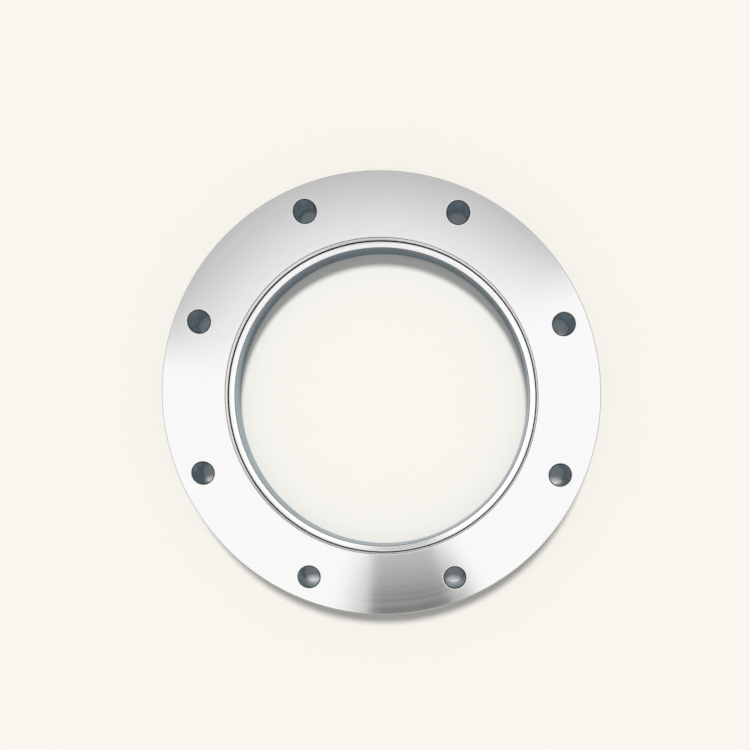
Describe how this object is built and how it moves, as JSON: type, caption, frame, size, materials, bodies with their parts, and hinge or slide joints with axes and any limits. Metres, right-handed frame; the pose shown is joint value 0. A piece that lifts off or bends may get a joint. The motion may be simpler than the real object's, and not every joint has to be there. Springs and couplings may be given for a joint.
{
  "type": "iso-f vacuum flange",
  "caption": "Flat steel ring flange for vacuum pipework, with a flat sealing face, a through bore, a stepped socket for a welded tube and a circle of bolt holes.",
  "frame": {"origin": "centre of the sealing face, which is the lower face, at the foot of the bore's axis", "axes": "+Z along the bore's axis from the sealing face to the socket for the tube; +X midway between two bolt holes"},
  "size_m": [0.225, 0.225, 0.016],
  "materials": {
    "turned_steel": "stainless steel, finely turned faces with concentric tool marks and small broken edges"
  },
  "bodies": {
    "root": {"flange": "turned_steel"}
  },
  "joints": []
}
